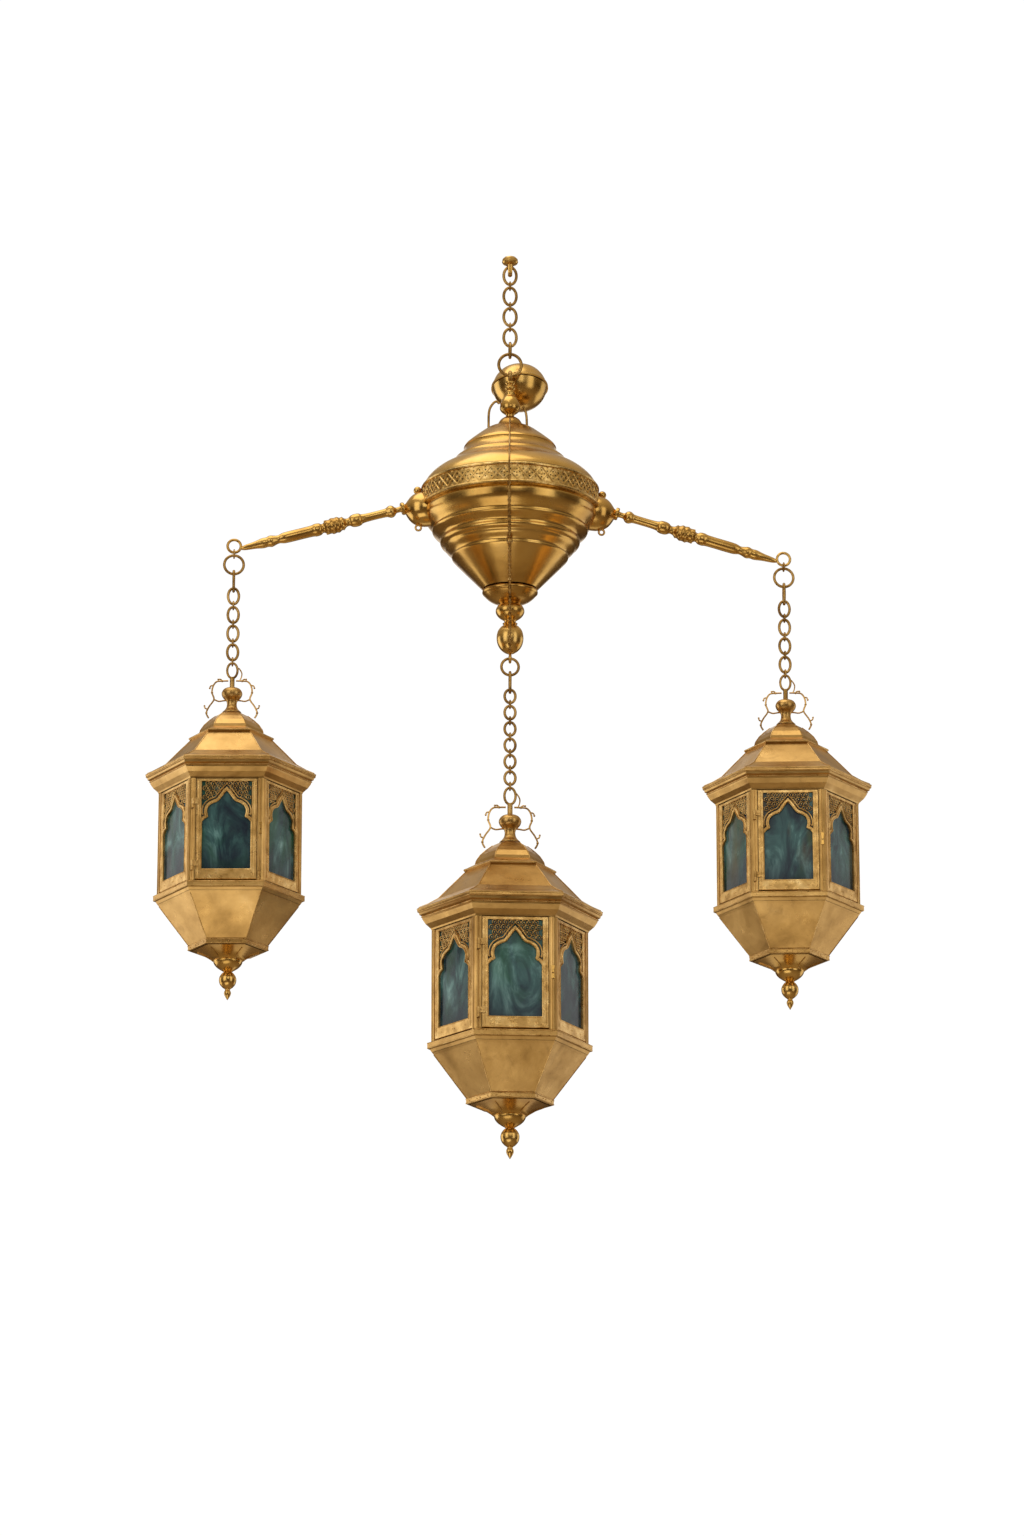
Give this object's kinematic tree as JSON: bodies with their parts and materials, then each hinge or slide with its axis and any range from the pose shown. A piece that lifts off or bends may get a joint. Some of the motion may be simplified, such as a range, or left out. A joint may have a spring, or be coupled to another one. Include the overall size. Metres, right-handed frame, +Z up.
{
  "type": "hanging lantern chandelier",
  "caption": "Brass hanging light: spun double-cone body on a ceiling chain, two drooping turned arms and hexagonal glazed candle lanterns on chains.",
  "frame": {"origin": "centre of the ceiling stud's top face", "axes": "+Z up along the threaded hole, X along the two arms, front towards -Y"},
  "size_m": [1.0887, 0.2808, 1.411],
  "materials": {
    "polished_brass": "polished, warm gold",
    "engraved_brass": "engraved and pierced, bright",
    "satin_brass": "satin, mottled",
    "fret_brass": "satin with bright edges",
    "antique_brass": "darkened",
    "steel_rod": "plain",
    "coloured_glass": "mottled teal and navy",
    "candle_wax": "wax"
  },
  "bodies": {
    "ceiling": {"ceiling_stud": "polished_brass"},
    "top_chain": {"top_chain": "antique_brass"},
    "crown": {"crown_ring": "antique_brass", "stem_eye": "antique_brass"},
    "carrier": {"crown_stem": "polished_brass", "bail_wires": "antique_brass", "ball_bowl": "polished_brass", "ball_hood": "polished_brass", "body_cap": "polished_brass", "upper_shell": "polished_brass", "pierced_band": "engraved_brass", "lower_shell": "polished_brass", "body_finial": "polished_brass", "tie_rod": "steel_rod", "arm_bosses": "polished_brass", "left_arm": "polished_brass", "right_arm": "polished_brass", "front_chain": "antique_brass"},
    "left_chain": {"left_chain": "antique_brass"},
    "left_hanger": {"left_hanger": "antique_brass"},
    "left_lantern": {"left_finial": "polished_brass", "left_roof": "satin_brass", "left_cage": "satin_brass", "left_fretwork": "fret_brass", "left_panes": "coloured_glass", "left_bowl": "satin_brass", "left_bottom_finial": "polished_brass", "left_candle_pan": "satin_brass", "left_candle": "candle_wax"},
    "left_door": {"left_door_frame": "fret_brass", "left_door_pane": "coloured_glass"},
    "left_latch": {"left_latch": "polished_brass"},
    "centre_chain": {"centre_chain": "antique_brass"},
    "centre_hanger": {"centre_hanger": "antique_brass"},
    "centre_lantern": {"centre_finial": "polished_brass", "centre_roof": "satin_brass", "centre_cage": "satin_brass", "centre_fretwork": "fret_brass", "centre_panes": "coloured_glass", "centre_bowl": "satin_brass", "centre_bottom_finial": "polished_brass", "centre_candle_pan": "satin_brass", "centre_candle": "candle_wax"},
    "centre_door": {"centre_door_frame": "fret_brass", "centre_door_pane": "coloured_glass"},
    "centre_latch": {"centre_latch": "polished_brass"},
    "right_chain": {"right_chain": "antique_brass"},
    "right_hanger": {"right_hanger": "antique_brass"},
    "right_lantern": {"right_finial": "polished_brass", "right_roof": "satin_brass", "right_cage": "satin_brass", "right_fretwork": "fret_brass", "right_panes": "coloured_glass", "right_bowl": "satin_brass", "right_bottom_finial": "polished_brass", "right_candle_pan": "satin_brass", "right_candle": "candle_wax"},
    "right_door": {"right_door_frame": "fret_brass", "right_door_pane": "coloured_glass"},
    "right_latch": {"right_latch": "polished_brass"}
  },
  "joints": [
    {"name": "ceiling_swing", "type": "hinge", "parent": "ceiling", "child": "top_chain", "pos_m": [0, 0, -0.01545], "axis": [1, 0, 0], "range_deg": [-8, 8]},
    {"name": "crown_sway", "type": "hinge", "parent": "top_chain", "child": "crown", "pos_m": [0, 0, -0.16265], "axis": [0, 1, 0], "range_deg": [-8, 8]},
    {"name": "carrier_turn", "type": "hinge", "parent": "crown", "child": "carrier", "pos_m": [0, 0, -0.24], "axis": [0, 0, 1], "range_deg": [-20, 20]},
    {"name": "left_chain_sway", "type": "hinge", "parent": "carrier", "child": "left_chain", "pos_m": [-0.418, 0, -0.4832], "axis": [0, 1, 0], "range_deg": [-8, 8]},
    {"name": "left_hanger_swing", "type": "hinge", "parent": "left_chain", "child": "left_hanger", "pos_m": [-0.418, 0, -0.6612], "axis": [1, 0, 0], "range_deg": [-8, 8]},
    {"name": "left_lantern_turn", "type": "hinge", "parent": "left_hanger", "child": "left_lantern", "pos_m": [-0.418, 0, -0.7189], "axis": [0, 0, 1], "range_deg": [-30, 30]},
    {"name": "left_door_swing", "type": "hinge", "parent": "left_lantern", "child": "left_door", "pos_m": [-0.47486, -0.09152, -0.9389], "axis": [0, 0, -1], "range_deg": [0, 110]},
    {"name": "left_latch_turn", "type": "hinge", "parent": "left_lantern", "child": "left_latch", "pos_m": [-0.37498, -0.09698, -0.9409], "axis": [0.0785, 0.9969, 0], "range_deg": [0, 90]},
    {"name": "centre_chain_sway", "type": "hinge", "parent": "carrier", "child": "centre_chain", "pos_m": [0, 0, -0.6499], "axis": [0, 1, 0], "range_deg": [-8, 8]},
    {"name": "centre_hanger_swing", "type": "hinge", "parent": "centre_chain", "child": "centre_hanger", "pos_m": [0, 0, -0.84621], "axis": [1, 0, 0], "range_deg": [-8, 8]},
    {"name": "centre_lantern_turn", "type": "hinge", "parent": "centre_hanger", "child": "centre_lantern", "pos_m": [0, 0, -0.9091], "axis": [0, 0, 1], "range_deg": [-30, 30]},
    {"name": "centre_door_swing", "type": "hinge", "parent": "centre_lantern", "child": "centre_door", "pos_m": [-0.05396, -0.10431, -1.1489], "axis": [0, 0, -1], "range_deg": [0, 110]},
    {"name": "centre_latch_turn", "type": "hinge", "parent": "centre_lantern", "child": "centre_latch", "pos_m": [0.05504, -0.1017, -1.15108], "axis": [0, 1, 0], "range_deg": [0, 90]},
    {"name": "right_chain_sway", "type": "hinge", "parent": "carrier", "child": "right_chain", "pos_m": [0.418, 0, -0.4832], "axis": [0, 1, 0], "range_deg": [-8, 8]},
    {"name": "right_hanger_swing", "type": "hinge", "parent": "right_chain", "child": "right_hanger", "pos_m": [0.418, 0, -0.6612], "axis": [1, 0, 0], "range_deg": [-8, 8]},
    {"name": "right_lantern_turn", "type": "hinge", "parent": "right_hanger", "child": "right_lantern", "pos_m": [0.418, 0, -0.7189], "axis": [0, 0, 1], "range_deg": [-30, 30]},
    {"name": "right_door_swing", "type": "hinge", "parent": "right_lantern", "child": "right_door", "pos_m": [0.35721, -0.08895, -0.9389], "axis": [0, 0, -1], "range_deg": [0, 110]},
    {"name": "right_latch_turn", "type": "hinge", "parent": "right_lantern", "child": "right_latch", "pos_m": [0.45675, -0.09876, -0.9409], "axis": [0.1219, 0.9925, 0], "range_deg": [0, 90]}
  ]
}
